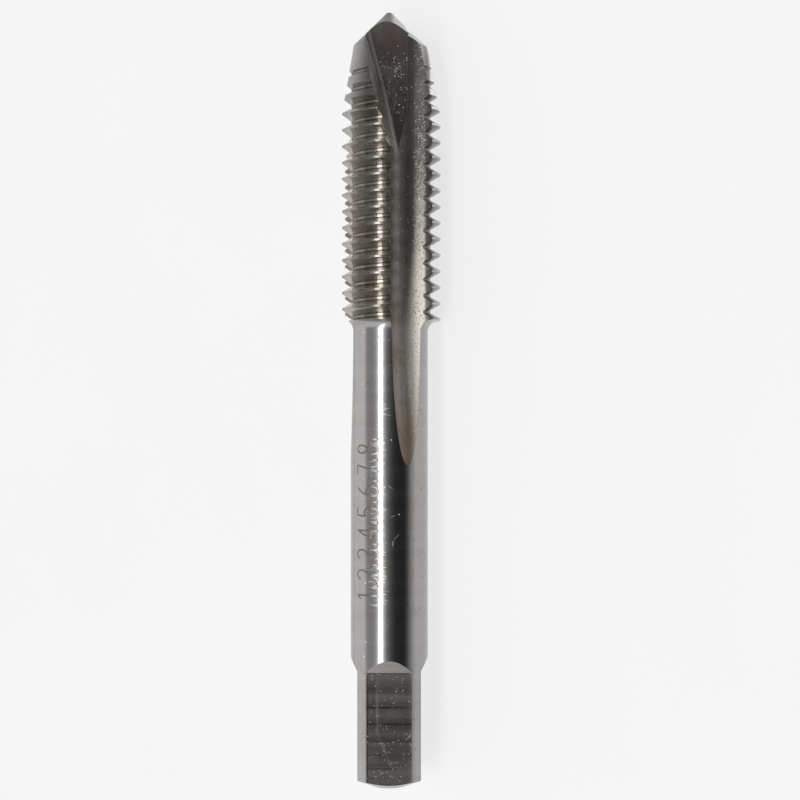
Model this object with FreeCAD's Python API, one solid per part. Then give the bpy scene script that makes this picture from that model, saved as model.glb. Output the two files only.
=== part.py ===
"""Spiral point thread tap, one piece of tool steel, lying on its side.

The tap is modelled standing on its square end, with its axis along Z, and is laid down at the end,
so that the axis runs along +Y and the cutting end points to +Y. The origin is the middle of the
square end. It lies with one flute straight down, on the corners of the two lands beside that flute.
"""
import FreeCAD, Part
import math
import os

from FreeCAD import Vector

# Lengths in millimetres, measured along the axis from the square end
overall_length = 60.0
shoulder_height = 36.03
flute_end_height = 36.5
square_length = 9.05

# Lengths measured back from the point
chamfer_start_from_point = 8.0
gash_face_cross_from_point = 6.97

# Diameters and widths
thread_diameter = 8.0
shank_diameter = 6.0
square_width = 4.9
chamfer_nose_diameter = 5.94
point_flat_diameter = 0.4
end_face_diameter = 2.9

# Standard 60 degree thread, right hand
thread_pitch = 1.25
thread_flank_angle = 30.0
crest_share_of_pitch = 1 / 8
root_share_of_pitch = 0.136
groove_lead_in_pitches = 1.5
groove_gap_turn = 10.0

# Ends and transitions
point_angle = 90.0
end_chamfer_angle = 22.5
shoulder_fillet_radius = 0.85
largest_fillet_share_of_step = 0.9
square_ramp_angle = 30.0
square_sides = 4
square_turn = 31.6

# Flutes, ground with a wheel that has a round rim
flute_count = 3
first_flute_turn = 90.0
flute_core_diameter = 4.53
flute_form_radius = 1.92
flute_wheel_radius = 92.0

# Gash of the spiral point, seen from the flute that it deepens
gash_wheel_radius = 30.0
gash_corner_radius = 0.3
gash_floor_depth = 0.96
gash_deepest_offset = 3.5
gash_far_side = 1.9
gash_face_turn = 44.6
gash_face_lean = 15.6

# Cutters reach this far past the surfaces that they cut
clear_of_cut = 1.0

# Worked out from the sizes above
thread_radius = thread_diameter / 2
shank_radius = shank_diameter / 2
flute_core_radius = flute_core_diameter / 2
flank_slope = math.tan(math.radians(thread_flank_angle))
crest_flat = thread_pitch * crest_share_of_pitch
root_flat = thread_pitch * root_share_of_pitch
thread_depth = (thread_pitch - crest_flat - root_flat) / (2 * flank_slope)
root_radius = thread_radius - thread_depth

ORIGIN = Vector(0, 0, 0)
X_AXIS = Vector(1, 0, 0)
Y_AXIS = Vector(0, 1, 0)
Z_AXIS = Vector(0, 0, 1)


def turned_blank():
    """The turned body: chamfered end, shank, filleted shoulder, thread blank, chamfer and point."""
    end_radius = end_face_diameter / 2
    nose_radius = chamfer_nose_diameter / 2
    tip_radius = point_flat_diameter / 2
    end_rise = (shank_radius - end_radius) * math.tan(math.radians(end_chamfer_angle))
    point_rise = (nose_radius - tip_radius) / math.tan(math.radians(point_angle / 2))
    step = thread_radius - shank_radius
    fillet = min(shoulder_fillet_radius, largest_fillet_share_of_step * step)
    inset = fillet * (1 - math.sqrt(0.5))

    axis_start = ORIGIN
    end_edge = Vector(end_radius, 0, 0)
    shank_start = Vector(shank_radius, 0, end_rise)
    fillet_start = Vector(shank_radius, 0, shoulder_height - fillet)
    fillet_middle = Vector(shank_radius + inset, 0, shoulder_height - inset)
    fillet_end = Vector(shank_radius + fillet, 0, shoulder_height)
    shoulder_edge = Vector(thread_radius, 0, shoulder_height)
    chamfer_edge = Vector(thread_radius, 0, overall_length - chamfer_start_from_point)
    nose_edge = Vector(nose_radius, 0, overall_length - point_rise)
    tip_edge = Vector(tip_radius, 0, overall_length)
    axis_end = Vector(0, 0, overall_length)

    profile = [
        Part.makeLine(axis_start, end_edge),
        Part.makeLine(end_edge, shank_start),
        Part.makeLine(shank_start, fillet_start),
        Part.Arc(fillet_start, fillet_middle, fillet_end).toShape(),
        Part.makeLine(fillet_end, shoulder_edge),
        Part.makeLine(shoulder_edge, chamfer_edge),
        Part.makeLine(chamfer_edge, nose_edge),
        Part.makeLine(nose_edge, tip_edge),
        Part.makeLine(tip_edge, axis_end),
        Part.makeLine(axis_end, axis_start),
    ]
    return Part.Face(Part.Wire(profile)).revolve(ORIGIN, Z_AXIS, 360)


def groove_stretch():
    """The thread's V groove across one land: a short helical sweep that starts towards +X."""
    stretch_arc = 360 / flute_count - groove_gap_turn
    helix = Part.makeHelix(thread_pitch, thread_pitch * stretch_arc / 360, root_radius)
    mouth_radius = thread_radius + crest_flat / 2
    root_half = root_flat / 2
    mouth_half = root_half + (mouth_radius - root_radius) * flank_slope
    section = Part.makePolygon([
        Vector(root_radius, 0, -root_half),
        Vector(mouth_radius, 0, -mouth_half),
        Vector(mouth_radius, 0, mouth_half),
        Vector(root_radius, 0, root_half),
        Vector(root_radius, 0, -root_half),
    ])
    stretch = Part.Wire(helix.Edges).makePipeShell([section], True, True)
    if stretch.Volume < 0:
        stretch.reverse()
    return stretch


def thread_grooves():
    """The groove across every land, turn after turn, all on one right hand helix."""
    stretch = groove_stretch()
    start_height = shoulder_height - groove_lead_in_pitches * thread_pitch
    turns = math.ceil((overall_length - start_height) / thread_pitch)
    grooves = []
    for land in range(flute_count):
        start_turn = first_flute_turn + groove_gap_turn / 2 + land * 360 / flute_count
        for lap in range(turns):
            groove = stretch.copy()
            groove.rotate(ORIGIN, Z_AXIS, start_turn)
            groove.translate(Vector(0, 0, start_height + (lap + start_turn / 360) * thread_pitch))
            grooves.append(groove)
    return grooves


def flute_cutter():
    """The round rim of the flute wheel: straight through the thread, then swung out of the shank."""
    path_radius = flute_core_radius + flute_form_radius
    path_end = Vector(path_radius, 0, flute_end_height)
    straight_length = overall_length - flute_end_height + clear_of_cut
    straight = Part.makeCylinder(flute_form_radius, straight_length, path_end, Z_AXIS)

    rise_to_shank = shank_radius - flute_core_radius + clear_of_cut
    swing = math.degrees(math.acos(1 - rise_to_shank / flute_wheel_radius))
    wheel_centre = Vector(flute_core_radius + flute_wheel_radius, 0, flute_end_height)
    rim = Part.Face(Part.Wire(Part.makeCircle(flute_form_radius, path_end, Z_AXIS)))
    return straight.fuse(rim.revolve(wheel_centre, -Y_AXIS, swing))


def gash_cutter():
    """The spiral point wheel: its flat side grinds the cutting face and its rim the gash floor."""
    wheel_base = Vector(0, -gash_floor_depth - gash_wheel_radius, gash_deepest_offset)
    wheel = Part.makeCylinder(gash_wheel_radius, gash_wheel_radius, wheel_base, X_AXIS)
    face_rim = [edge for edge in wheel.Edges if edge.BoundBox.XMax < gash_corner_radius]
    wheel = wheel.makeFillet(gash_corner_radius, face_rim)
    wheel.rotate(ORIGIN, Y_AXIS, -gash_face_lean)

    size = 4 * gash_wheel_radius
    beyond_far_side = Part.makeBox(size, size, size, Vector(gash_far_side, -size / 2, -size / 2))
    cutter = wheel.cut(beyond_far_side)
    cutter.rotate(ORIGIN, Z_AXIS, gash_face_turn)
    cutter.translate(Vector(0, 0, overall_length - gash_face_cross_from_point))
    return cutter


def square_cutter():
    """The milling cut of one flat of the square, with its sloping run-out into the shank."""
    flat = square_width / 2
    reach = shank_radius - flat + clear_of_cut
    run_out = reach / math.tan(math.radians(square_ramp_angle))
    outline = Part.makePolygon([
        Vector(flat, 0, -clear_of_cut),
        Vector(flat + reach, 0, -clear_of_cut),
        Vector(flat + reach, 0, square_length + run_out),
        Vector(flat, 0, square_length),
        Vector(flat, 0, -clear_of_cut),
    ])
    half_width = shank_radius + clear_of_cut
    outline.translate(Vector(0, -half_width, 0))
    return Part.Face(outline).extrude(Vector(0, 2 * half_width, 0))


def pattern(shape, count, first_turn):
    """Copies of a cutter, evenly spaced round the axis."""
    copies = []
    for index in range(count):
        copy = shape.copy()
        copy.rotate(ORIGIN, Z_AXIS, first_turn + index * 360 / count)
        copies.append(copy)
    return copies


def thread_tap():
    """The finished tap: a turned blank, milled, fluted, gashed and threaded, then laid down."""
    tap = turned_blank()
    tap = tap.cut(pattern(square_cutter(), square_sides, square_turn))
    tap = tap.cut(pattern(flute_cutter(), flute_count, first_flute_turn))
    tap = tap.cut(pattern(gash_cutter(), flute_count, first_flute_turn))
    tap = tap.cut(thread_grooves())
    tap.rotate(ORIGIN, X_AXIS, -90)
    return tap


os.makedirs("parts", exist_ok=True)
thread_tap().exportStep("parts/thread_tap.step")
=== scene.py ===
# %% [markdown]
# # A spiral point thread tap
# A tap cuts the thread in a drilled hole. It is one piece of hardened tool steel: a turned bar with
# a milled square for the wrench, three flutes that carry the chips, a thread ground over the lands
# between the flutes, and at the tip three slanted gashes that push the chips forward.
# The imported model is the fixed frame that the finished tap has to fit, so it is loaded first.

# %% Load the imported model
import math

import bpy
from mathutils import Matrix, Vector


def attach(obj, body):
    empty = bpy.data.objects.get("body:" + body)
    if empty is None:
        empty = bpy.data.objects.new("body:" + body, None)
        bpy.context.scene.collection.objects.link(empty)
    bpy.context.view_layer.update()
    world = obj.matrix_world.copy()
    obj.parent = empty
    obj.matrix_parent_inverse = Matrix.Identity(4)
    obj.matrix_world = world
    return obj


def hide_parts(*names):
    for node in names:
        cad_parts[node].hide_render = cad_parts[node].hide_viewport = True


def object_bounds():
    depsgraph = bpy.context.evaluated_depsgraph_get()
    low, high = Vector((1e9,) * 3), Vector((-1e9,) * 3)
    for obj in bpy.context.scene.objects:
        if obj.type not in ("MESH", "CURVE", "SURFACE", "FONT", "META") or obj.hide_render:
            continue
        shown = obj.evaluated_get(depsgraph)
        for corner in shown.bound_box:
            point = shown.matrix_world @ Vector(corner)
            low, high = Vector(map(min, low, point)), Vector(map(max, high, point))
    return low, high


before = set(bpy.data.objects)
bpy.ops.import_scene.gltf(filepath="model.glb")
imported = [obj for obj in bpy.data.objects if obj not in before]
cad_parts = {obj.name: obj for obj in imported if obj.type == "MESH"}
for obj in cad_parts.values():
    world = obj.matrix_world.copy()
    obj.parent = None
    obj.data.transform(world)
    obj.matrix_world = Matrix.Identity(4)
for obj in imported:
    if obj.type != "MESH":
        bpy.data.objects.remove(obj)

bpy.context.view_layer.update()
cad_box = [list(corner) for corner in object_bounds()]
print("CAD box in metres:", cad_box)

# %% [markdown]
# ## Helpers for modelling by hand
# Every edit acts on what is selected, so each piece starts from an empty selection. The tap is
# modelled standing on its square end, with its axis along Z, as it would stand in a lathe, and is
# laid down when it is finished. All sizes are in millimetres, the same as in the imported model, and
# lengths run along the axis from the square end.

# %% Units and selection
MM = 0.001


def start_fresh():
    """Leaves nothing selected, in object mode."""
    if bpy.context.object and bpy.context.object.mode != "OBJECT":
        bpy.ops.object.mode_set(mode="OBJECT")
    bpy.ops.object.select_all(action="DESELECT")


def only(piece):
    """Selects one object and makes it the active one."""
    start_fresh()
    piece.select_set(True)
    bpy.context.view_layer.objects.active = piece
    return piece


def turn_about(piece, axis, degrees):
    """Turns a finished mesh about an axis through the origin."""
    piece.data.transform(Matrix.Rotation(math.radians(degrees), 4, axis))


def shift(piece, x=0.0, y=0.0, z=0.0):
    """Moves a finished mesh, sizes in millimetres."""
    piece.data.transform(Matrix.Translation(Vector((x, y, z)) * MM))


def face_count(piece):
    return len(piece.data.polygons)


# %% [markdown]
# ## Surfaces of the steel
# Each tool leaves its own finish, so each gets its own material slot before modelling starts: the
# ground shank, the ground thread, the flutes, the gashes, the milled square and the point. A cutter
# carries its material, and the boolean hands it to the surface that it cuts. The nodes come later.

# %% Material slots
finishes = {}
for finish in ("ground_shank", "blank_thread", "turned_point", "milled_square", "milled_ramp",
               "ground_flute", "ground_gash", "gash_corner", "cutting_face", "ground_thread",
               "etched_mark"):
    finishes[finish] = bpy.data.materials.new(finish)
    finishes[finish].use_nodes = True
print("finishes:", ", ".join(finishes))


def give(piece, *names):
    """Puts finishes in the piece's slots, in this order."""
    piece.data.materials.clear()
    for name in names:
        piece.data.materials.append(finishes[name])


# %% [markdown]
# ## The turned blank
# The bar is turned to its outline: a chamfered end, the shank, a fillet up to the thicker part, the
# lead chamfer and the male point. By hand this is one circle, extruded ring by ring and resized at
# each step. A spin of a drawn outline would do the same, but rings keep the faces in order.

# %% Outline of the blank
overall_length = 60.0
shoulder_height = 36.03
chamfer_start = overall_length - 8.0
shank_radius = 3.0
thread_radius = 4.0
nose_radius = 5.94 / 2
tip_radius = 0.4 / 2
end_radius = 2.9 / 2
end_chamfer_angle = 22.5
shoulder_fillet = 0.85
fillet_steps = 8

end_rise = (shank_radius - end_radius) * math.tan(math.radians(end_chamfer_angle))
point_start = overall_length - (nose_radius - tip_radius)  # a 90 degree point
outline = [(end_radius, 0), (shank_radius, end_rise)]
for step in range(fillet_steps + 1):
    swing = math.radians(90 * step / fillet_steps)
    outline.append((shank_radius + shoulder_fillet * (1 - math.cos(swing)),
                    shoulder_height - shoulder_fillet * (1 - math.sin(swing))))
outline += [(thread_radius, shoulder_height), (thread_radius, chamfer_start),
            (nose_radius, point_start), (tip_radius, overall_length)]
print("outline of the blank:", len(outline), "corners")

# %% Turned blank
around = 256


def next_ring(old, new):
    """Extrudes the selected ring from one (radius, height) to the next."""
    rise = (new[1] - old[1]) * MM
    grow = new[0] / old[0]
    bpy.ops.mesh.extrude_region_move(TRANSFORM_OT_translate={"value": (0, 0, rise)})
    bpy.ops.transform.resize(value=(grow, grow, 1), center_override=(0, 0, new[1] * MM))


start_fresh()
bpy.ops.mesh.primitive_circle_add(vertices=around, radius=outline[0][0] * MM, fill_type="NGON")
tap = bpy.context.object
tap.name = "ground_tap"
give(tap, "ground_shank", "blank_thread", "turned_point")
bpy.ops.object.mode_set(mode="EDIT")
bpy.ops.mesh.select_all(action="SELECT")
for old, new in zip(outline, outline[1:]):
    next_ring(old, new)
bpy.ops.object.mode_set(mode="OBJECT")
print("turned blank:", face_count(tap), "faces")

# %% Finishes on the blank
def close_and_orient(piece):
    """Merges doubled points and turns every face outwards."""
    only(piece)
    bpy.ops.object.mode_set(mode="EDIT")
    bpy.ops.mesh.select_all(action="SELECT")
    bpy.ops.mesh.remove_doubles(threshold=1e-8)
    bpy.ops.mesh.normals_make_consistent(inside=False)
    bpy.ops.object.mode_set(mode="OBJECT")


close_and_orient(tap)
for face in tap.data.polygons:
    if face.center.z > point_start * MM:
        face.material_index = 2
    elif face.center.z > shoulder_height * MM:
        face.material_index = 1
print("faces of the point:", sum(face.material_index == 2 for face in tap.data.polygons))

# %% [markdown]
# ## Cutting with wheels and mills
# Everything else on a tap is cut away, so the cutters are modelled and subtracted. The exact
# boolean is slower than the fast one, but it copes with cuts that just graze each other, such as
# the flute that fades out in the shank.

# %% Cutting helpers
def cut_away(piece, cutter):
    """Subtracts a cutter from the piece, and removes the cutter."""
    only(piece)
    bpy.ops.object.modifier_add(type="BOOLEAN")
    cut = piece.modifiers[-1]
    cut.operation = "DIFFERENCE"
    cut.solver = "EXACT"
    cut.material_mode = "TRANSFER"
    cut.object = cutter
    bpy.ops.object.modifier_apply(modifier=cut.name)
    bpy.data.objects.remove(cutter)


def copies_round_axis(cutter, count, first_turn):
    """Evenly spaced copies of a cutter, each with its own mesh. The first one is used up."""
    copies = []
    for index in range(count):
        only(cutter)
        bpy.ops.object.duplicate()
        copy = bpy.context.object
        turn_about(copy, "Z", first_turn + index * 360 / count)
        copies.append(copy)
    bpy.data.objects.remove(cutter)
    return copies


# %% [markdown]
# ## The square for the wrench
# A side mill takes four flats off the end of the shank, and leaves each by a sloping run-out. The
# cutter is a cube as long as the flat, and its outer far edge is drawn along the slope. One cutter
# copied round the axis keeps the four flats alike, where four drawn ones could differ.

# %% Milled square
square_length = 9.05
flat_distance = 4.9 / 2
square_sides = 4
square_turn = 31.6
square_ramp_angle = 30.0
clear_of_cut = 1.0  # cutters reach this far past what they cut
tolerance = 0.1

start_fresh()
reach = shank_radius - flat_distance + clear_of_cut
bpy.ops.mesh.primitive_cube_add(size=1)
mill = bpy.context.object
give(mill, "milled_square", "milled_ramp")
mill.data.transform(Matrix.Diagonal((reach * MM, 2 * (shank_radius + clear_of_cut) * MM,
                                     (square_length + clear_of_cut) * MM, 1)))
shift(mill, x=flat_distance + reach / 2, z=(square_length - clear_of_cut) / 2)
bpy.ops.object.mode_set(mode="EDIT")
bpy.ops.mesh.select_all(action="DESELECT")
bpy.ops.object.mode_set(mode="OBJECT")
for point in mill.data.vertices:
    at_far_end = point.co.z > (square_length - tolerance) * MM
    at_outside = point.co.x > (flat_distance + reach - tolerance) * MM
    point.select = at_far_end and at_outside
bpy.ops.object.mode_set(mode="EDIT")
run_out = reach / math.tan(math.radians(square_ramp_angle))
bpy.ops.transform.translate(value=(0, 0, run_out * MM))
bpy.ops.object.mode_set(mode="OBJECT")
for face in mill.data.polygons:
    face.material_index = 1 if face.center.z > square_length * MM else 0
for cutter in copies_round_axis(mill, square_sides, square_turn):
    cut_away(tap, cutter)
print("with the square:", face_count(tap), "faces")

# %% [markdown]
# ## The flutes
# A wheel with a round rim grinds each flute: straight through the thread, then swung out of the
# shank along the wheel's own radius. The cutter is the rim's circle, extruded along the straight
# part and spun about the wheel's centre for the run-out. A plain cylinder would end the flute in a
# hollow step, and the real one fades out over a long oval.

# %% Ground flutes
flute_count = 3
first_flute_turn = 90.0
flute_end_height = 36.5
core_radius = 4.53 / 2
flute_form_radius = 1.92
flute_wheel_radius = 92.0
rim_facets = 128
run_out_steps = 64

start_fresh()
path_radius = core_radius + flute_form_radius
bpy.ops.mesh.primitive_circle_add(vertices=rim_facets, radius=flute_form_radius * MM,
                                  fill_type="NGON",
                                  location=(path_radius * MM, 0, overall_length * MM))
rim = bpy.context.object
bpy.ops.object.transform_apply(location=True, rotation=False, scale=False)
give(rim, "ground_flute")
shift(rim, z=clear_of_cut)
bpy.ops.object.mode_set(mode="EDIT")
bpy.ops.mesh.select_all(action="SELECT")
straight = overall_length + clear_of_cut - flute_end_height
bpy.ops.mesh.extrude_region_move(TRANSFORM_OT_translate={"value": (0, 0, -straight * MM)})
swing = math.acos(1 - (shank_radius - core_radius + clear_of_cut) / flute_wheel_radius)
bpy.ops.mesh.spin(steps=run_out_steps, angle=swing, axis=(0, 1, 0),
                  center=((core_radius + flute_wheel_radius) * MM, 0, flute_end_height * MM))
bpy.ops.object.mode_set(mode="OBJECT")
close_and_orient(rim)
print("flute cutter:", face_count(rim), "faces, lowest",
      round(min(v.co.z for v in rim.data.vertices) / MM, 3), "mm")
for cutter in copies_round_axis(rim, flute_count, first_flute_turn):
    cut_away(tap, cutter)
print("with the flutes:", face_count(tap), "faces")

# %% [markdown]
# ## The gashes of the spiral point
# A second wheel leans over and deepens each flute at the tip. Its flat side grinds the slanted
# cutting face, its rim grinds the floor, and the small round between them is the corner that shows
# as a thin line. The wheel is a cylinder with its rim bevelled, leaned, and trimmed on its far
# side.

# %% Gash wheel
gash_wheel_radius = 30.0
gash_wheel_facets = 1024
gash_corner_radius = 0.3
gash_corner_steps = 8
gash_floor_depth = 0.96
gash_deepest_offset = 3.5
flat_side, rim_side = 0.999, 0.1

start_fresh()
bpy.ops.mesh.primitive_cylinder_add(vertices=gash_wheel_facets, radius=gash_wheel_radius * MM,
                                    depth=gash_wheel_radius * MM, rotation=(0, math.pi / 2, 0))
wheel = bpy.context.object
bpy.ops.object.transform_apply(location=True, rotation=True, scale=False)
give(wheel, "ground_gash", "gash_corner", "cutting_face")
shift(wheel, x=gash_wheel_radius / 2, y=-gash_floor_depth - gash_wheel_radius,
      z=gash_deepest_offset)
bpy.ops.object.mode_set(mode="EDIT")
bpy.ops.mesh.select_mode(type="EDGE")
bpy.ops.mesh.select_all(action="DESELECT")
bpy.ops.object.mode_set(mode="OBJECT")
for edge in wheel.data.edges:
    edge.select = all(abs(wheel.data.vertices[v].co.x) < 1e-6 for v in edge.vertices)
bpy.ops.object.mode_set(mode="EDIT")
bpy.ops.mesh.bevel(offset=gash_corner_radius * MM, segments=gash_corner_steps, profile=0.5)
bpy.ops.object.mode_set(mode="OBJECT")
for face in wheel.data.polygons:
    facing = -face.normal.x  # 1 on the flat side, 0 on the rim, and between them on the corner
    face.material_index = 2 if facing > flat_side else 1 if facing > rim_side else 0
print("gash wheel:", face_count(wheel), "faces")

# %% Ground gashes
gash_face_cross = overall_length - 6.97
gash_face_turn = 44.6
gash_face_lean = 15.6
gash_far_side = 1.9
kept_rim = 6.0

turn_about(wheel, "Y", -gash_face_lean)
bpy.ops.object.mode_set(mode="EDIT")
bpy.ops.mesh.select_all(action="SELECT")
bpy.ops.mesh.bisect(plane_co=(gash_far_side * MM, 0, 0), plane_no=(1, 0, 0),
                    use_fill=True, clear_outer=True, threshold=1e-8)
bpy.ops.mesh.select_all(action="SELECT")
bpy.ops.mesh.bisect(plane_co=(0, -kept_rim * MM, 0), plane_no=(0, -1, 0),
                    use_fill=True, clear_outer=True, threshold=1e-8)
bpy.ops.object.mode_set(mode="OBJECT")
turn_about(wheel, "Z", gash_face_turn)
shift(wheel, z=gash_face_cross)
close_and_orient(wheel)
print("gash cutter:", face_count(wheel), "faces")
for cutter in copies_round_axis(wheel, flute_count, first_flute_turn):
    cut_away(tap, cutter)
print("with the gashes:", face_count(tap), "faces")

# %% [markdown]
# ## The thread
# The thread is a V groove on a right hand helix, 1.25 mm for each turn, ground over the lands down
# to the shoulder. The groove's section is drawn once, and a Screw modifier carries it round the
# axis, which can't twist it as a sweep along a curve can. It starts below the shoulder, where it
# only meets air, and ends beyond the point.

# %% Section of the groove
pitch = 1.25
flank_angle = 30.0
crest_flat = pitch / 8
root_flat = pitch * 0.136
flank_slope = math.tan(math.radians(flank_angle))
root_radius = thread_radius - (pitch - crest_flat - root_flat) / (2 * flank_slope)
mouth_radius = thread_radius + crest_flat / 2
root_half = root_flat / 2
mouth_half = root_half + (mouth_radius - root_radius) * flank_slope

start_fresh()
bpy.ops.mesh.primitive_plane_add(size=1, rotation=(math.pi / 2, 0, 0))
groove = bpy.context.object
bpy.ops.object.transform_apply(location=True, rotation=True, scale=False)
give(groove, "ground_thread")
for point in groove.data.vertices:
    at_mouth = point.co.x > 0
    radius = mouth_radius if at_mouth else root_radius
    half = mouth_half if at_mouth else root_half
    point.co = Vector((radius, 0, math.copysign(half, point.co.z))) * MM
print("groove: from", round(root_radius, 3), "to", round(mouth_radius, 3), "mm off the axis")

# %% Ground thread
lead_in_turns = 1.5
steps_in_turn = 128
helix_start = shoulder_height - lead_in_turns * pitch
helix_turns = math.ceil((overall_length - helix_start) / pitch)

bpy.ops.object.mode_set(mode="EDIT")
bpy.ops.mesh.select_all(action="SELECT")
bpy.ops.mesh.delete(type="ONLY_FACE")
bpy.ops.object.mode_set(mode="OBJECT")
bpy.ops.object.modifier_add(type="SCREW")
screw = groove.modifiers[-1]
screw.axis = "Z"
screw.angle = math.radians(360)
screw.screw_offset = pitch * MM
screw.iterations = helix_turns
screw.steps = steps_in_turn
screw.render_steps = steps_in_turn
bpy.ops.object.modifier_apply(modifier=screw.name)
bpy.ops.object.mode_set(mode="EDIT")
bpy.ops.mesh.select_all(action="SELECT")
bpy.ops.mesh.fill_holes(sides=4)
bpy.ops.object.mode_set(mode="OBJECT")
shift(groove, z=helix_start)
close_and_orient(groove)
print("groove cutter:", face_count(groove), "faces")
cut_away(tap, groove)
print("threaded tap:", face_count(tap), "faces")

# %% [markdown]
# ## Lay the tap down
# The tap comes to rest on the corners of two lands, with one flute straight down. Its axis is
# turned from Z to +Y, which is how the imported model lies. Where two finishes meet there is a real
# edge, so those edges are marked sharp, also where the flute fades out at a very flat angle.

# %% Lay down and smooth
smooth_up_to = 25.0

turn_about(tap, "X", -90)
finish_beside = {}
for face in tap.data.polygons:
    for pair in face.edge_keys:
        finish_beside.setdefault(pair, set()).add(face.material_index)
for edge in tap.data.edges:
    edge.use_edge_sharp = len(finish_beside[edge.key]) > 1
only(tap)
bpy.ops.object.shade_smooth_by_angle(angle=math.radians(smooth_up_to), keep_sharp_edges=True)
print("sharp edges:", sum(edge.use_edge_sharp for edge in tap.data.edges))

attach(tap, "root")
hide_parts("thread_tap")

# %% [markdown]
# ## The etched scale
# The shank carries a line of small etched figures. Here they are plain counting numbers with ticks.
# An etching needle draws single strokes, so each figure is made of open curves with a thin round
# bevel. A text object would give filled outlines instead. The row is flattened to a few thousandths
# of a millimetre and wrapped round the shank.

# %% Strokes of the figures
def arc(x, y, wide, high, start, end, steps=14):
    """Points on part of an ellipse, angles in degrees."""
    angles = [math.radians(start + (end - start) * k / steps) for k in range(steps + 1)]
    return [(x + wide * math.cos(a), y + high * math.sin(a)) for a in angles]


figure_strokes = {
    "1": [[(0.2, 1.62), (0.55, 2.0), (0.55, 0.0)]],
    "2": [arc(0.5, 1.5, 0.42, 0.5, 165, -25) + [(0.08, 0.0), (0.95, 0.0)]],
    "3": [arc(0.45, 1.52, 0.42, 0.48, 150, -85) + arc(0.45, 0.52, 0.46, 0.52, 85, -150)],
    "4": [[(0.72, 0.0), (0.72, 2.0), (0.05, 0.62), (0.98, 0.62)]],
    "5": [[(0.88, 2.0), (0.18, 2.0), (0.14, 1.1)] + arc(0.46, 0.63, 0.46, 0.63, 115, -150)],
    "6": [[(0.8, 1.95), (0.35, 1.45), (0.08, 0.85)] + arc(0.5, 0.56, 0.43, 0.56, 165, -195)],
    "7": [[(0.05, 2.0), (0.95, 2.0), (0.38, 0.0)]],
    "8": [arc(0.5, 1.5, 0.36, 0.48, -90, 270) + arc(0.5, 0.52, 0.43, 0.52, 90, -270)],
}
print("figures:", " ".join(figure_strokes))

# %% Draw the scale flat
figure_height = 2.0
figure_width = 0.85
figure_step = 1.6
tick_offset = 1.22
stroke_half_width = 0.07
longest_run = 0.13

start_fresh()
lines = bpy.data.curves.new("etched_scale", "CURVE")
lines.dimensions = "3D"
lines.bevel_depth = stroke_half_width * MM
lines.bevel_resolution = 2
lines.use_fill_caps = True


def draw(points):
    """One open stroke in the flat row, in short runs that can bend round the shank."""
    runs = [points[0]]
    for (x0, y0), (x1, y1) in zip(points, points[1:]):
        pieces = max(1, math.ceil(math.hypot(x1 - x0, y1 - y0) / longest_run))
        runs += [(x0 + (x1 - x0) * k / pieces, y0 + (y1 - y0) * k / pieces)
                 for k in range(1, pieces + 1)]
    stroke = lines.splines.new("POLY")
    stroke.points.add(len(runs) - 1)
    for target, (x, y) in zip(stroke.points, runs):
        target.co = (x * MM, y * MM, 0, 1)


for index, figure in enumerate("12345678"):
    left = index * figure_step
    for stroke in figure_strokes[figure]:
        draw([(left + x * figure_width, (y / 2 - 0.5) * figure_height) for x, y in stroke])
    tick = left + tick_offset
    draw([(tick, -figure_height / 2), (tick, -figure_height / 4)])
print("strokes:", len(lines.splines))

# %% Flatten and wrap the scale
scale_start = 14.5
scale_turn = square_turn - 34.5
etch_height = 0.004

etched = bpy.data.objects.new("etched_scale", lines)
bpy.context.collection.objects.link(etched)
only(etched)
bpy.ops.object.convert(target="MESH")
etched = bpy.context.object
for point in etched.data.vertices:
    along, up, lift = point.co / MM
    turn = math.radians(scale_turn) - up / shank_radius
    radius = shank_radius + lift * etch_height / stroke_half_width
    point.co = Vector((radius * math.sin(turn), scale_start + along,
                       radius * math.cos(turn))) * MM
give(etched, "etched_mark")
close_and_orient(etched)
bpy.ops.object.shade_smooth()
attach(etched, "root")
print("etched scale:", face_count(etched), "faces")

# %% [markdown]
# ## Nodes shared by the finishes
# Ground steel is never one flat grey. Grinding leaves fine lines across or along the surface,
# coolant and handling leave stains, and the flutes carry dark pits and light specks, the light ones
# painted glints. Each effect is a node group with its own inputs, so that every finish can use it
# with its own values.

# %% Node helpers
def place(nodes, kind, settings=None, **inputs):
    """Adds a node. Settings are its own fields, inputs are values or sockets to link from."""
    made = nodes.new(kind)
    for field, value in (settings or {}).items():
        setattr(made, field, value)
    for name, value in inputs.items():
        join(nodes, value, made.inputs[name.replace("_", " ")])
    return made


def join(nodes, value, socket):
    """Links a socket, or sets a plain value."""
    if isinstance(value, bpy.types.NodeSocket):
        nodes.id_data.links.new(value, socket)
    else:
        socket.default_value = value


def maths(nodes, operation, first, second=0.0, third=0.0):
    """A Math node, and its output."""
    made = nodes.new("ShaderNodeMath")
    made.operation = operation
    for socket, value in zip(made.inputs, (first, second, third)):
        join(nodes, value, socket)
    return made.outputs[0]


def product(nodes, first, *others):
    """Multiplies two or more values."""
    for other in others:
        first = maths(nodes, "MULTIPLY", first, other)
    return first


def gap(nodes, first, second):
    """How far two values are apart."""
    return maths(nodes, "ABSOLUTE", maths(nodes, "SUBTRACT", first, second))


def vector_maths(nodes, operation, first, second):
    """A Vector Math node with two inputs, and its first output that carries the result."""
    made = nodes.new("ShaderNodeVectorMath")
    made.operation = operation
    join(nodes, first, made.inputs[0])
    join(nodes, second, made.inputs["Scale" if operation == "SCALE" else 1])
    return made.outputs["Value" if operation in ("DOT_PRODUCT", "LENGTH") else "Vector"]


def shade(nodes, colour, factor):
    """Makes a colour darker or brighter."""
    return vector_maths(nodes, "SCALE", colour, factor)


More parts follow.
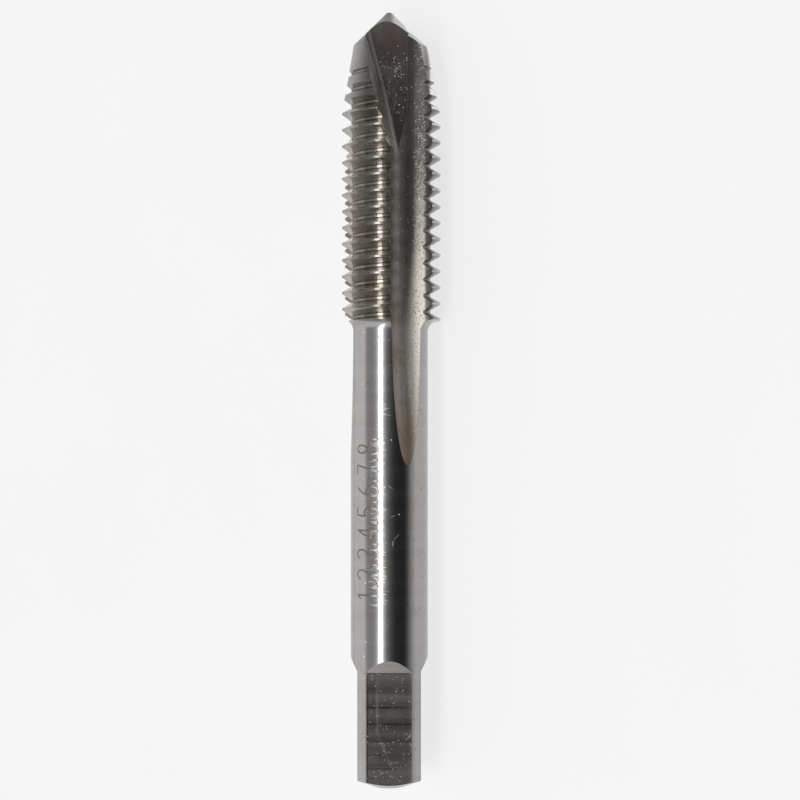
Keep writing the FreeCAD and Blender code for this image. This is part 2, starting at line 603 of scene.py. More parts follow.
def fade(nodes, value, start, stop, low=0.0, high=1.0):
    """A soft step: low where the value is at start, high where it is at stop."""
    made = place(nodes, "ShaderNodeMapRange", {"interpolation_type": "SMOOTHSTEP"},
                 Value=value, From_Min=start, From_Max=stop, To_Min=low, To_Max=high)
    return made.outputs["Result"]


def paint_over(nodes, mask, below, above):
    """The colour below, covered by the colour above where the mask is 1."""
    made = place(nodes, "ShaderNodeMix", {"data_type": "RGBA"})
    for socket, value in ((0, mask), (6, below), (7, above)):
        join(nodes, value, made.inputs[socket])
    return made.outputs[2]


FLOAT, VECTOR = "NodeSocketFloat", "NodeSocketVector"


def group(name, inputs, outputs):
    """A new node group with named sockets: its nodes, its inputs and its output node's inputs."""
    tree = bpy.data.node_groups.new(name, "ShaderNodeTree")
    for label, kind, value in inputs:
        socket = tree.interface.new_socket(label, in_out="INPUT", socket_type=kind)
        if value is not None:
            socket.default_value = value
    for label in outputs:
        tree.interface.new_socket(label, in_out="OUTPUT", socket_type=FLOAT)
    return tree.nodes, tree.nodes.new("NodeGroupInput").outputs, \
        tree.nodes.new("NodeGroupOutput").inputs


# %% Grinding lines
broad_share = 0.12

nodes, given, result = group(
    "grinding_lines",
    [("Vector", VECTOR, None), ("Stretch", VECTOR, (1, 1, 1))], ["Height", "Tone"])
stretched = vector_maths(nodes, "MULTIPLY", given["Vector"], given["Stretch"])
fine = place(nodes, "ShaderNodeTexNoise", Vector=stretched, Scale=1.0, Detail=5.0, Roughness=0.7)
broad = place(nodes, "ShaderNodeTexNoise", Vector=stretched, Scale=broad_share, Detail=3.0,
              Roughness=0.6)
join(nodes, fine.outputs["Fac"], result["Height"])
join(nodes, broad.outputs["Fac"], result["Tone"])

# %% Specks, in clusters
patch_scale = 0.11
patch_fade = (0.38, 0.62, 0.4, 1.6)
grain_edge = (0.46, 0.3)

nodes, given, result = group(
    "specks",
    [("Vector", VECTOR, None), ("Scale", FLOAT, 9000.0), ("Share", FLOAT, 0.2)], ["Mask"])
grains = place(nodes, "ShaderNodeTexVoronoi", Vector=given["Vector"], Scale=given["Scale"])
patches = place(nodes, "ShaderNodeTexNoise", Vector=given["Vector"],
                Scale=product(nodes, given["Scale"], patch_scale), Detail=2.0)
in_patch = fade(nodes, patches.outputs["Fac"], *patch_fade)
chosen = place(nodes, "ShaderNodeSeparateColor", Color=grains.outputs["Color"])
is_speck = maths(nodes, "LESS_THAN", chosen.outputs["Red"],
                 product(nodes, in_patch, given["Share"]))
near = fade(nodes, grains.outputs["Distance"], *grain_edge)
join(nodes, product(nodes, is_speck, near), result["Mask"])

# %% Stains
nodes, given, result = group(
    "stains",
    [("Vector", VECTOR, None), ("Scale", FLOAT, 500.0), ("Level", FLOAT, 0.55),
     ("Softness", FLOAT, 0.12)], ["Mask"])
cloud = place(nodes, "ShaderNodeTexNoise", Vector=given["Vector"], Scale=given["Scale"],
              Detail=6.0, Roughness=0.65)
low = maths(nodes, "SUBTRACT", given["Level"], given["Softness"])
high = maths(nodes, "ADD", given["Level"], given["Softness"])
join(nodes, fade(nodes, cloud.outputs["Fac"], low, high), result["Mask"])

# %% [markdown]
# ## Where on the tap
# Some effects keep to a place: one wall of each flute is painted light as a painted reflection, and
# the roots of the thread are darker. One group turns a point on the tap into three plain measures:
# its turn round the axis in degrees, counted anew for each flute, its distance from the axis in
# millimetres, and how far along the tap it is, also in millimetres.

# %% Places on the tap
nodes, given, result = group("tap_place", [("Vector", VECTOR, None)], ["Turn", "Radius", "Along"])
parts = place(nodes, "ShaderNodeSeparateXYZ", Vector=given["Vector"]).outputs
whole_turn = maths(nodes, "DEGREES", maths(nodes, "ARCTAN2", parts["X"], parts["Z"]))
join(nodes, maths(nodes, "WRAP", whole_turn, 360 / flute_count, 0.0), result["Turn"])
squared = maths(nodes, "ADD", product(nodes, parts["X"], parts["X"]),
                product(nodes, parts["Z"], parts["Z"]))
join(nodes, product(nodes, maths(nodes, "SQRT", squared), 1 / MM), result["Radius"])
join(nodes, product(nodes, parts["Y"], 1 / MM), result["Along"])
flute_middle = 180 / flute_count
print("node groups:", ", ".join(sorted(tree.name for tree in bpy.data.node_groups)))

# %% [markdown]
# ## One recipe for ground steel
# All the finishes are the same bare steel, so one function builds them from a few values: the
# steel's tone and its stain, how rough the wheel left it and which way its lines run. Lines spread
# a reflection to their own sides only, which is what anisotropy does. A finish may add effects of
# its own with a function that repaints the colour and the roughness, and says how many specks it
# gets. The light specks are painted glints, or pale chips on the square. The limits of such effects
# have names, and are in the order that fade takes them: start, stop, and then low and high where
# these aren't 0 and 1.

# %% Steel recipe
BRIGHT = (0.95, 0.93, 0.9, 1.0)
BLACK = (0.03, 0.026, 0.022, 1.0)
WHITE = (1.0, 1.0, 1.0, 1.0)
ACROSS = (120.0, 9000.0, 120.0)
LENGTHWISE = (9000.0, 160.0, 9000.0)
NOISE_RANGE = (0.3, 0.7)
edge_round = 0.02
rough_change = 0.15
speck_dullness = 0.9
apart = 0.0137  # keeps the bright specks off the dark ones


def effect(nodes, name, **inputs):
    """Places one of the shared node groups, and gives its outputs."""
    return place(nodes, "ShaderNodeGroup", {"node_tree": bpy.data.node_groups[name]},
                 **inputs).outputs


def steel(name, tone, stain, rough, lines_run, line_depth=0.0006, line_tone=0.08, spread=0.6,
          stain_scale=500.0, light=0.0, dark=0.0, speck_scale=9000.0, lumps=0.0, lump_scale=3000.0,
          own_effects=None):
    """Builds one finish. Depths are in millimetres, light and dark are shares of specks, the light
    ones painted glints or chips.
    """
    nodes = finishes[name].node_tree.nodes
    shader = nodes["Principled BSDF"]
    shader.inputs["Metallic"].default_value = 1.0
    here = place(nodes, "ShaderNodeTexCoord").outputs["Object"]
    spots = effect(nodes, "tap_place", Vector=here)

    lines = effect(nodes, "grinding_lines", Vector=here, Stretch=lines_run)
    dirt = effect(nodes, "stains", Vector=here, Scale=stain_scale)["Mask"]
    colour = paint_over(nodes, dirt, (*tone, 1), (*stain, 1))
    colour = shade(nodes, colour,
                   fade(nodes, lines["Tone"], *NOISE_RANGE, 1 - line_tone, 1 + line_tone))
    roughness = fade(nodes, lines["Tone"], *NOISE_RANGE,
                     rough * (1 - rough_change), rough * (1 + rough_change))
    speck_amount = 1.0
    if own_effects:
        colour, roughness, speck_amount = own_effects(nodes, here, spots, colour, roughness)

    if dark:
        pits = effect(nodes, "specks", Vector=here, Scale=speck_scale,
                      Share=product(nodes, speck_amount, dark))["Mask"]
        colour = paint_over(nodes, pits, colour, BLACK)
    # The light specks are painted glints, or pale chips on the square.
    if light:
        chips_and_glints = effect(nodes, "specks", Scale=speck_scale,
                        Vector=vector_maths(nodes, "ADD", here, (apart, apart, apart)),
                        Share=product(nodes, speck_amount, light))["Mask"]
        colour = paint_over(nodes, chips_and_glints, colour, BRIGHT)
        join(nodes, maths(nodes, "SUBTRACT", 1.0, product(nodes, chips_and_glints, speck_dullness)),
             shader.inputs["Metallic"])
    join(nodes, colour, shader.inputs["Base Color"])
    join(nodes, roughness, shader.inputs["Roughness"])

    shader.inputs["Anisotropic"].default_value = spread
    shader.inputs["Anisotropic Rotation"].default_value = 0.25 if lines_run == ACROSS else 0.0
    join(nodes, vector_maths(nodes, "CROSS_PRODUCT", (0.0, 1.0, 0.0), here),
         shader.inputs["Tangent"])
    edge = place(nodes, "ShaderNodeBevel", {"samples": 4}, Radius=edge_round * MM)
    surface = place(nodes, "ShaderNodeBump", Height=lines["Height"], Normal=edge.outputs["Normal"],
                    Distance=line_depth * MM).outputs["Normal"]
    if lumps:
        uneven = place(nodes, "ShaderNodeTexNoise", Vector=here, Scale=lump_scale, Detail=3.0)
        surface = place(nodes, "ShaderNodeBump", Height=uneven.outputs["Fac"], Normal=surface,
                        Distance=lumps * MM).outputs["Normal"]
    join(nodes, surface, shader.inputs["Normal"])
    print("finish", name, "of", len(nodes), "nodes")


# %% [markdown]
# ## Marks that keep to one side
# Some marks keep to one side of the tap: scratches lie beside the figures, and painted shade and
# painted light lie on one side of the teeth, the point, the figures' strokes and the flutes. Such a
# mark is placed by how far a point of the steel is to the right of the axis, for someone who looks
# down on a flat of the square. That direction is fixed to the tap, so the marks stay where they are
# when the tap is seen from elsewhere. The camera is set up from the same directions.

# %% Directions of the tap
view_turn = math.radians(square_turn)
towards_camera = Vector((math.sin(view_turn), 0, math.cos(view_turn)))
picture_right = Vector((math.cos(view_turn), 0, -math.sin(view_turn)))
picture_up = Vector((0, 1, 0))
print("the flat of the square faces", [round(part, 3) for part in towards_camera])


def to_the_right(nodes, here):
    """How far a point is to the right of the axis, in millimetres."""
    return product(nodes, vector_maths(nodes, "DOT_PRODUCT", here, picture_right), 1 / MM)


def on_near_side(nodes, here):
    """1 on the half of the tap that faces the camera, and 0 on the other half."""
    return fade(nodes, vector_maths(nodes, "DOT_PRODUCT", here, towards_camera), 0.0, MM)


def line_mask(nodes, right, along, start, end, half_width):
    """Marks a straight scratch from start to end, both as (right, along) in millimetres."""
    core = 0.3  # the share of it that is at full strength
    run = (end[0] - start[0], end[1] - start[1])
    length = math.hypot(*run)
    from_right = maths(nodes, "SUBTRACT", right, start[0])
    from_along = maths(nodes, "SUBTRACT", along, start[1])
    ahead = maths(nodes, "ADD", product(nodes, from_right, run[0] / length),
                  product(nodes, from_along, run[1] / length))
    aside = maths(nodes, "SUBTRACT", product(nodes, from_right, run[1] / length),
                  product(nodes, from_along, run[0] / length))
    across = fade(nodes, maths(nodes, "ABSOLUTE", aside), half_width, half_width * core)
    return product(nodes, across,
                   fade(nodes, gap(nodes, ahead, length / 2), length / 2, length * core))


# %% [markdown]
# ## The ground shank
# The shank is ground smooth, with very fine lines round it. Handling and the etching needle have
# left short scratches round the bar, most of them beside the figures. The scratches are painted
# bright and gather along the lamp's bright line, where they are also a painted highlight, its
# feathered edge. A stretched noise, cut off at a high level, gives such scratches without drawing
# each one, and four larger nicks are drawn as straight lines.

# %% Shank
NEUTRAL = (0.405, 0.397, 0.392)
scratch_stretch = (900.0, 8000.0, 900.0)
figures_start, figures_stop = (13.2, 14.6), (28.5, 27.0)
bright_line = -0.85
thick_beside_line = (1.0, 0.4)
thinly, thickly = 0.045, 0.12
faint_beside_line = (1.4, 0.8, 0.0, 0.082)
no_scratches = 0.73
scratch_edge = (0.0, 0.05)
scratch_cover = 0.6
scratch_roughness = 0.25
nicks = (((0.26, 18.75), (0.33, 19.2), 0.08), ((0.33, 19.2), (0.8, 19.75), 0.05),
         ((0.1, 20.95), (0.5, 21.15), 0.035), ((-0.05, 23.4), (0.3, 23.1), 0.04))


def shank_effects(nodes, here, spots, colour, roughness):
    """Bright scratches round the shank, thickest beside the figures and along the lamp's bright
    line, where they are a painted highlight, and a few nicks.
    """
    threads = place(nodes, "ShaderNodeTexNoise", Detail=4.0, Roughness=0.75, Scale=1.0,
                    Vector=vector_maths(nodes, "MULTIPLY", here, scratch_stretch))
    along = spots["Along"]
    right = to_the_right(nodes, here)
    near_side = on_near_side(nodes, here)
    figures = product(nodes, fade(nodes, along, *figures_start),
                      fade(nodes, along, *figures_stop), near_side)
    # Painted highlight: the bright scratches gather along the lamp's bright line.
    off_line = gap(nodes, right, bright_line)
    wear_and_sheen = maths(nodes, "MULTIPLY_ADD", fade(nodes, off_line, *thick_beside_line),
                   thickly, thinly)
    beside_line = product(nodes, fade(nodes, off_line, *faint_beside_line), near_side)
    wear_and_sheen = maths(nodes, "MAXIMUM", product(nodes, figures, wear_and_sheen), beside_line)
    level = maths(nodes, "SUBTRACT", no_scratches, wear_and_sheen)
    scratch = fade(nodes, maths(nodes, "SUBTRACT", threads.outputs["Fac"], level), *scratch_edge)
    for start, end, half_width in nicks:
        nick = line_mask(nodes, right, along, start, end, half_width)
        scratch = maths(nodes, "MAXIMUM", scratch, product(nodes, nick, near_side))
    # The scratches are painted bright; beside the bright line this is a painted highlight.
    colour = paint_over(nodes, product(nodes, scratch, scratch_cover), colour, BRIGHT)
    roughness = maths(nodes, "ADD", roughness, product(nodes, scratch, scratch_roughness))
    return colour, roughness, 1.0


steel("ground_shank", NEUTRAL, (0.375, 0.36, 0.35), 0.17, ACROSS, line_depth=0.0004,
      line_tone=0.04, spread=0.3, light=0.003, dark=0.003, speck_scale=7000.0,
      own_effects=shank_effects)

# %% [markdown]
# ## The point and the etched figures
# The cone of the point is turned, a little rougher than the shank, and painted darker on the left
# and lighter on the right, as painted shade and painted light. The needle leaves a dark, rough
# stroke, painted light towards the lamp's bright line as a painted highlight. Both are the same
# steel with a tone that changes from left to right.

# %% Point and figures
STROKE_HIGHLIGHT = (0.85, 0.78, 0.7, 1.0)
dark_left = (-1.2, -0.6, 0.48, 0.8)
lit_right = (0.05, 0.5, 1.0, 2.2)
lit_towards_top = (-1.55, -1.0, 0.0, 0.8)


def point_effects(nodes, here, spots, colour, roughness):
    """Painted shade on the left of the cone, and painted light on the right."""
    right = to_the_right(nodes, here)
    # Painted shade on the left of the cone, and painted light on the right.
    painted_light = product(nodes, fade(nodes, right, *dark_left), fade(nodes, right, *lit_right))
    return shade(nodes, colour, painted_light), roughness, 1.0


def mark_effects(nodes, here, spots, colour, roughness):
    """The etched figures are dark on the left, with a painted highlight towards the top of the
    shank.
    """
    # Painted highlight on the strokes towards the lamp's bright line.
    lit_strokes = fade(nodes, to_the_right(nodes, here), *lit_towards_top)
    return paint_over(nodes, lit_strokes, colour, STROKE_HIGHLIGHT), roughness, 1.0


steel("turned_point", (0.36, 0.355, 0.345), (0.3, 0.29, 0.275), 0.3, ACROSS,
      own_effects=point_effects)
steel("etched_mark", (0.24, 0.22, 0.2), (0.32, 0.3, 0.28), 0.5, ACROSS, spread=0.0,
      lumps=0.003, own_effects=mark_effects)

# %% [markdown]
# ## The thread's finish
# The grinding wheel leaves the flanks bright and slightly wavy, and the crests keep the duller skin
# of the blank. The flat roots are darker, the flanks on the left get painted shade, and so do the
# teeth on the right. So flanks and crests are two finishes, and each fades by the radius, by the
# length along the tap and by the side.

# %% Thread
TEETH_SHADE = (0.085, 0.066, 0.058, 1.0)
DARK_ROOT = (0.26, 0.235, 0.21, 1.0)
PALE_LEAD = (0.42, 0.41, 0.395, 1.0)
right_shade_start = (2.5, 2.9)
right_shade_fades_over = 0.2
root_radii, root_cover = (3.25, 3.21), 0.9
flank_left = (-2.2, -1.3, 0.79, 1.0)
flank_lead = (49.0, 52.0, 1.0, 0.9)
flank_shade_limit, flank_shade_cover = 3.9, 0.86
crest_top, crest_before_lead = (-3.4, -2.1), (52.5, 49.5)
crest_dulling = (0.0, 1.0, 1.3, 0.74)
crest_lead = (51.0, 54.0)
crest_right = (3.0, 3.3, 1.0, 2.4)
crest_shade_limit, crest_shade_cover = 3.0, 0.65


def shaded_right_side(nodes, right, outer_limit, cover):
    """Painted shade on the teeth on the right, out to a limit in millimetres from the axis."""
    return product(nodes, fade(nodes, right, *right_shade_start),
                   fade(nodes, right, outer_limit + right_shade_fades_over, outer_limit), cover)


def thread_effects(nodes, here, spots, colour, roughness):
    """Darker flat roots, painted shade on the left flanks and on the right teeth, darker at the
    lead.
    """
    right = to_the_right(nodes, here)
    root = product(nodes, fade(nodes, spots["Radius"], *root_radii), root_cover)
    colour = paint_over(nodes, root, colour, DARK_ROOT)
    # Painted shade: the flanks on the left are darker.
    colour = shade(nodes, colour, fade(nodes, right, *flank_left))
    colour = shade(nodes, colour, fade(nodes, spots["Along"], *flank_lead))
    # Painted shade on the teeth at the right.
    right_shade = shaded_right_side(nodes, right, flank_shade_limit, flank_shade_cover)
    return paint_over(nodes, right_shade, colour, TEETH_SHADE), roughness, 1.0


def crest_effects(nodes, here, spots, colour, roughness):
    """Crests darker on top, lighter at the lead and at the right, and painted shade on the right
    teeth.
    """
    right = to_the_right(nodes, here)
    dull = product(nodes, fade(nodes, right, *crest_top),
                   fade(nodes, spots["Along"], *crest_before_lead))
    colour = shade(nodes, colour, fade(nodes, dull, *crest_dulling))
    colour = paint_over(nodes, fade(nodes, spots["Along"], *crest_lead), colour, PALE_LEAD)
    colour = shade(nodes, colour, fade(nodes, right, *crest_right))
    # Painted shade on the teeth at the right.
    right_shade = shaded_right_side(nodes, right, crest_shade_limit, crest_shade_cover)
    return paint_over(nodes, right_shade, colour, TEETH_SHADE), roughness, 1.0


steel("ground_thread", (0.61, 0.583, 0.55), (0.5, 0.46, 0.42), 0.15, ACROSS, spread=0.8,
      lumps=0.012, lump_scale=2600.0, own_effects=thread_effects)
steel("blank_thread", (0.31, 0.29, 0.27), (0.24, 0.215, 0.185), 0.18, ACROSS, lumps=0.004,
      lump_scale=2600.0, own_effects=crest_effects)

# %% [markdown]
# ## The finish of flutes and gashes
# Chips run along the flutes. One wall of each flute is painted light, a painted reflection, with
# fine light specks that are painted glints, and towards the tip the flute gets painted shade beside
# that wall. The gash has a dark floor with specks in the middle, and its cutting face and corner are
# clean. What lies where is told by the turn from the middle of the flute, and by how far along the
# tap a point is.

# %% Flutes
LIT_WALL = (0.8, 0.76, 0.68, 1.0)
BROWN_TINT = (0.98, 0.84, 0.75, 1.0)
shade_builds_up = (34.0, 44.0, 0.0, 0.34)
shade_thins_at_tip = (55.0, 47.0, 0.7, 1.0)
shade_from_wall = (-18.0, -2.0)
shade_deepens = (3.0, 18.0, 1.0, 1.75)
shade_left_edge = (-2.7, -2.2)
plain_wall = (0.0, -6.0, 1.0, 0.88)
lit_wall_start, lit_wall_stop = (43.0, 33.0, 16.0, -8.0), 26.0
lit_wall_radii = (3.5, 3.2)
lit_wall_roughness = 0.06
lit_wall_along = (52.0, 37.0)
brown_end = (30.5, 27.0)
few_flute_specks = 0.04
flute_specks_at_tip, flute_specks_at_end = (55.0, 46.0, 0.4, 1.0), (34.0, 40.0, 0.4, 1.0)


def flute_shade(nodes, turn, right, along):
    """How much painted shade the flute gets: none in the run-out, most beside the lit wall."""
    return product(nodes, fade(nodes, along, *shade_builds_up),
                   fade(nodes, along, *shade_thins_at_tip), fade(nodes, turn, *shade_from_wall),
                   fade(nodes, turn, *shade_deepens), fade(nodes, right, *shade_left_edge))


def flute_effects(nodes, here, spots, colour, roughness):
    """Painted shade towards the tip, a painted reflection on one wall, and brown at the end."""
    along = spots["Along"]
    turn = maths(nodes, "SUBTRACT", spots["Turn"], flute_middle)
    # Painted shade, darkest towards the tip beside the lit wall; the other wall is a little darker.
    painted_shade = flute_shade(nodes, turn, to_the_right(nodes, here), along)
    colour = shade(nodes, colour, maths(nodes, "SUBTRACT", 1.0, painted_shade))
    colour = shade(nodes, colour, fade(nodes, turn, *plain_wall))
    # Painted light on one wall, standing in for its reflection.
    from_turn = fade(nodes, along, *lit_wall_start)
    wear_and_sheen = product(nodes, fade(nodes, turn, from_turn, lit_wall_stop),
                     fade(nodes, spots["Radius"], *lit_wall_radii))
    painted_light = product(nodes, wear_and_sheen, fade(nodes, along, *lit_wall_along))
    colour = paint_over(nodes, painted_light, colour, LIT_WALL)
    tint = paint_over(nodes, fade(nodes, along, *brown_end), WHITE, BROWN_TINT)
    colour = vector_maths(nodes, "MULTIPLY", colour, tint)
    roughness = maths(nodes, "ADD", roughness, product(nodes, wear_and_sheen, lit_wall_roughness))
    speck_amount = product(nodes, maths(nodes, "MULTIPLY_ADD", wear_and_sheen, 1.0, few_flute_specks),
                    fade(nodes, along, *flute_specks_at_tip), fade(nodes, along, *flute_specks_at_end))
    return colour, roughness, speck_amount


steel("ground_flute", (0.365, 0.333, 0.31), (0.27, 0.24, 0.218), 0.36, LENGTHWISE,
      line_depth=0.001, spread=0.75, light=0.42, dark=0.28, speck_scale=11000.0,
      own_effects=flute_effects)

# %% Gashes
OLD_OIL = (0.075, 0.052, 0.045, 1.0)
dark_tip = (53.0, 57.5, 1.0, 0.25)
patch_level, patch_cover = (0.45, 0.7), 0.6
specks_start, specks_stop = (50.0, 52.0), (57.5, 56.0)
few_specks, more_specks = 0.05, 1.1


def gash_effects(nodes, here, spots, colour, roughness):
    """Dark towards the tip, with brown patches, and specks in the middle."""
    along = spots["Along"]
    colour = shade(nodes, colour, fade(nodes, along, *dark_tip))
    brown = place(nodes, "ShaderNodeTexNoise", Vector=here, Scale=420.0, Detail=5.0)
    brown = product(nodes, fade(nodes, brown.outputs["Fac"], *patch_level), patch_cover)
    colour = paint_over(nodes, brown, colour, OLD_OIL)
    middle = product(nodes, fade(nodes, along, *specks_stop), fade(nodes, along, *specks_start))
    return colour, roughness, maths(nodes, "MULTIPLY_ADD", middle, more_specks, few_specks)


steel("ground_gash", (0.23, 0.21, 0.195), (0.15, 0.132, 0.115), 0.36, LENGTHWISE,
      line_depth=0.001, light=0.075, dark=0.16, speck_scale=10000.0, own_effects=gash_effects)
steel("gash_corner", (0.58, 0.55, 0.515), (0.46, 0.43, 0.4), 0.4, LENGTHWISE)
steel("cutting_face", (0.82, 0.78, 0.735), (0.64, 0.58, 0.53), 0.5, LENGTHWISE)

# %% [markdown]
# ## The milled square's finish
# The flats are milled and left dark. Where the mill slowed down it left darker lines across them,
# and one long scratch runs down and bends to the right. The lines are set by their height, and the
# noise that breaks them up keeps them from looking drawn.

# %% Square
MILL_MARK = (0.07, 0.065, 0.06, 1.0)
PALE_SCRATCH = (0.62, 0.61, 0.5, 1.0)
milled_lines = ((6.41, 0.13, 0.85), (5.12, 0.12, 0.75), (2.78, 0.1, 0.7), (1.73, 0.1, 0.6),
                (7.9, 0.2, 0.25), (3.9, 0.25, 0.25))
line_core, broken_share = 0.3, 0.3
line_breaks = (0.4, 0.55)
long_scratch_start = (-0.9, 8.8)
long_scratch_bend = 4.4
long_scratch_slope = 0.43
long_scratch_end = 1.6
long_scratch_edge = (0.2, 0.0)
long_scratch_breaks = (0.35, 0.6, 0.06, 0.34)
scratch_ends_in = 0.5
left_edge, left_edge_width, left_edge_cover = -1.69, (0.1, 0.03), 0.6
light_right_edge = (1.4, 1.8, 1.0, 1.5)


def long_scratch(nodes, right, along, breaks):
    """A pale scratch: straight down to its bend, then slanting to the right."""
    start_right, start_along = long_scratch_start
    past_bend = maths(nodes, "MAXIMUM", 0.0, maths(nodes, "SUBTRACT", long_scratch_bend, along))
    path = maths(nodes, "MULTIPLY_ADD", past_bend, long_scratch_slope, start_right)
    return product(nodes, fade(nodes, gap(nodes, right, path), *long_scratch_edge),
                   fade(nodes, along, long_scratch_end, long_scratch_end + scratch_ends_in),
                   fade(nodes, along, start_along, start_along - scratch_ends_in),
                   fade(nodes, breaks, *long_scratch_breaks))


def square_effects(nodes, here, spots, colour, roughness):
    """Dark marks where the mill stopped, one long scratch, a dark left and a light right edge."""
    along = spots["Along"]
    right = to_the_right(nodes, here)
    breaks = place(nodes, "ShaderNodeTexNoise", Vector=here, Scale=700.0, Detail=3.0).outputs["Fac"]
    for height, half, depth in milled_lines:
        mark = product(nodes, fade(nodes, gap(nodes, along, height), half, half * line_core),
                       fade(nodes, breaks, *line_breaks, broken_share * depth, depth))
        colour = paint_over(nodes, mark, colour, MILL_MARK)
    scratch = long_scratch(nodes, right, along, breaks)
    colour = paint_over(nodes, scratch, colour, PALE_SCRATCH)
    at_edge = product(nodes, fade(nodes, gap(nodes, right, left_edge), *left_edge_width),
                      left_edge_cover)
    colour = paint_over(nodes, at_edge, colour, BLACK)
    return shade(nodes, colour, fade(nodes, right, *light_right_edge)), roughness, 1.0


steel("milled_square", (0.25, 0.235, 0.22), (0.185, 0.172, 0.16), 0.3, ACROSS, line_depth=0.001,
      line_tone=0.15, light=0.04, dark=0.04, speck_scale=12000.0, stain_scale=250.0,
      own_effects=square_effects)
steel("milled_ramp", (0.4, 0.39, 0.385), (0.36, 0.35, 0.34), 0.28, ACROSS)

# %% [markdown]
# ## Camera
# The photograph looks at the tap from a little over its side, with the point at the top of the
# picture. The tap lies on the floor, so the camera looks down on it, and +Y is up in the picture.
# Its lens is given by the size that the tap has in the picture at this distance.

# %% Camera
camera_distance = 130.0
picture_centre = 29.895
aim_right_of_axis = 0.837
focal_pixels = 1670.1
picture_pixels = 800

lens = bpy.data.cameras.new("camera")
lens.sensor_width = 36.0
lens.lens = lens.sensor_width * focal_pixels / picture_pixels
lens.clip_start = 0.005
lens.clip_end = 20.0
camera = bpy.data.objects.new("camera", lens)
bpy.context.collection.objects.link(camera)
spot = (picture_up * picture_centre + picture_right * aim_right_of_axis
        + towards_camera * camera_distance) * MM
axes = Matrix((picture_right, picture_up, towards_camera)).transposed()
camera.matrix_world = Matrix.Translation(spot) @ axes.to_4x4()
bpy.context.scene.camera = camera
print("camera at", [round(part, 4) for part in spot])

# %% [markdown]
# ## Floor
# The floor is a plain pale sheet that carries a soft shadow of the tap. The camera sees it nearly
# white. The bright metal needs a darker horizon, as in a studio where the light falls off, so what
# reflections see of the sheet's glow falls with the distance to the right of the tap.

# %% Floor
floor_size = 4.0
nearest = 1.0
glow_reach = 0.088
glow_peak = 0.9
glow_share = 0.75
paper_tones = (0.9, 0.93)

start_fresh()
floor_level = cad_box[0][2]
bpy.ops.mesh.primitive_grid_add(x_subdivisions=4, y_subdivisions=4, size=floor_size,
                                location=(0, 0, floor_level))
floor = bpy.context.object
floor.name = "floor"
bpy.ops.object.transform_apply(location=True, rotation=False, scale=False)
paper = bpy.data.materials.new("white_paper")
paper.use_nodes = True
nodes = paper.node_tree.nodes
sheet = nodes["Principled BSDF"]
here = place(nodes, "ShaderNodeTexCoord").outputs["Object"]
grain = place(nodes, "ShaderNodeTexNoise", Scale=60.0, Detail=3.0, Vector=here)
join(nodes, fade(nodes, grain.outputs["Fac"], *NOISE_RANGE, *paper_tones),
     sheet.inputs["Base Color"])
sheet.inputs["Roughness"].default_value = 0.9
sheet.inputs["Specular IOR Level"].default_value = 0.1
rays = place(nodes, "ShaderNodeLightPath").outputs
beside = place(nodes, "ShaderNodeSeparateXYZ", Vector=here).outputs["X"]
nearness = maths(nodes, "DIVIDE", nearest * MM, maths(nodes, "MAXIMUM", beside, nearest * MM))
reflected = place(nodes, "ShaderNodeMapRange", Value=nearness, From_Min=0.0, From_Max=glow_reach,
                  To_Min=0.0, To_Max=glow_peak)
strength = maths(nodes, "MAXIMUM", rays["Is Camera Ray"], reflected.outputs["Result"])
glow = place(nodes, "ShaderNodeEmission", Strength=strength)
seen = maths(nodes, "MAXIMUM", rays["Is Camera Ray"], rays["Is Glossy Ray"])
blend = place(nodes, "ShaderNodeMixShader", Fac=product(nodes, seen, glow_share))
join(nodes, sheet.outputs["BSDF"], blend.inputs[1])
join(nodes, glow.outputs["Emission"], blend.inputs[2])
join(nodes, blend.outputs["Shader"], nodes["Material Output"].inputs["Surface"])
print("floor at", round(floor_level / MM, 3), "mm")
floor.data.materials.append(paper)

# %% [markdown]
# ## The room
# Polished metal shows the room, so the room is most of the light. It is white nearly all round, and
# dark on the camera's side. A world whose tone depends only on the direction gives this without any
# walls. One colour ramp holds the tones by the bearing round the tap's axis. Two more serve the
# point and the square's slopes, which mirror directions that lean along the tap.

# %% Room
DULL_WHITE = (0.6, 0.6, 0.6, 1.0)
point_rise, square_rise, axis_rise = (8.0, 24.0), (-18.0, -45.0), (55.0, 75.0)

world = bpy.data.worlds.new("studio")
bpy.context.scene.world = world
world.use_nodes = True
nodes = world.node_tree.nodes
direction = place(nodes, "ShaderNodeTexCoord").outputs["Generated"]
to_right = vector_maths(nodes, "DOT_PRODUCT", direction, picture_right)
to_camera = vector_maths(nodes, "DOT_PRODUCT", direction, towards_camera)
to_point = vector_maths(nodes, "DOT_PRODUCT", direction, picture_up)
bearing = maths(nodes, "DEGREES", maths(nodes, "ARCTAN2", to_right, to_camera))
rise = maths(nodes, "DEGREES", maths(nodes, "ARCSINE", to_point))


def room_band(tones):
    """The room's tone round the tap's axis, from pairs of bearing in degrees and tone."""
    position = place(nodes, "ShaderNodeMapRange", Value=bearing, From_Min=-180.0, From_Max=180.0)
    band = place(nodes, "ShaderNodeValToRGB", Fac=position.outputs["Result"])
    ramp = band.color_ramp
    while len(ramp.elements) < len(tones):
        ramp.elements.new(0.5)
    for element, (degrees, tone) in zip(ramp.elements, tones):
        element.position = (degrees + 180) / 360
        element.color = (tone, tone, tone, 1)
    return band.outputs["Color"]


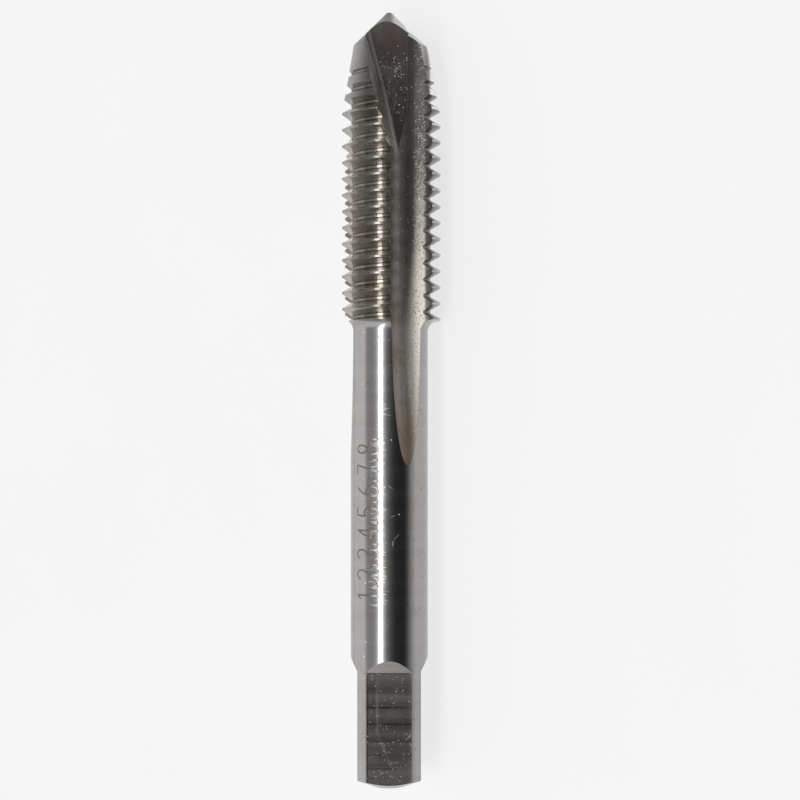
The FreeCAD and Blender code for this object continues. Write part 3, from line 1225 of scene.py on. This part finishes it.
level_band = room_band([(-180, 1), (-78, 1), (-70, 0.43), (-47, 0.43), (-41, 0.6), (-36, 0.85),
                        (-15, 0.8), (-9, 0.4), (-4, 0.23), (4, 0.13), (14, 0.055), (26, 0.035),
                        (47, 0.035), (53, 0.08), (59, 0.2), (86, 0.95), (180, 1)])
point_band = room_band([(-180, 1), (-130, 0.85), (-100, 0.6), (-80, 0.35), (-60, 0.16),
                        (50, 0.14), (70, 0.5), (100, 0.9), (180, 1)])
square_band = room_band([(-180, 0.9), (-60, 0.9), (-30, 0.8), (-10, 0.65), (10, 0.55), (50, 0.5),
                         (70, 0.9), (180, 0.9)])
tone = paint_over(nodes, fade(nodes, rise, *point_rise), level_band, point_band)
tone = paint_over(nodes, fade(nodes, rise, *square_rise), tone, square_band)
tone = paint_over(nodes, fade(nodes, rise, *axis_rise), tone, DULL_WHITE)
rays = place(nodes, "ShaderNodeLightPath").outputs
seen = paint_over(nodes, rays["Is Camera Ray"], tone, WHITE)
join(nodes, seen, nodes["Background"].inputs["Color"])
print("room of", len(nodes), "nodes")

# %% [markdown]
# ## The strip lamp
# One long narrow lamp overhead draws the bright line along the shank and the glints on the thread.
# An area lamp keeps its edges sharp in the reflection, which a bright band in the room would not do
# without many more samples. It stops short of the point, where the cone would show it.

# %% Strip lamp
strip_bearing = math.radians(-25.4)
strip_half_angle = math.radians(6.0)
strip_distance = 0.6
strip_end = strip_distance * math.tan(math.radians(12))
strip_start = strip_distance * math.tan(math.radians(-65))
strip_brightness = 4.4

strip = bpy.data.lights.new("strip_lamp", "AREA")
strip.shape = "RECTANGLE"
strip.size = 2 * strip_distance * math.tan(strip_half_angle)
strip.size_y = strip_end - strip_start
strip.energy = strip_brightness * math.pi * strip.size * strip.size_y
lamp = bpy.data.objects.new("strip_lamp", strip)
bpy.context.collection.objects.link(lamp)
back = towards_camera * math.cos(strip_bearing) + picture_right * math.sin(strip_bearing)
side = picture_up.cross(back)
middle = picture_centre * MM + (strip_start + strip_end) / 2
lamp.matrix_world = (Matrix.Translation(back * strip_distance + picture_up * middle)
                     @ Matrix((side, picture_up, back)).transposed().to_4x4())
bpy.context.scene.view_settings.view_transform = "Standard"
print("strip lamp:", round(strip.size, 3), "by", round(strip.size_y, 3), "m")

# %% [markdown]
# ## The end
# The finished tap has to fill the imported model's box. The last step brings the scene up to date.

# %% Finish
bpy.context.view_layer.update()
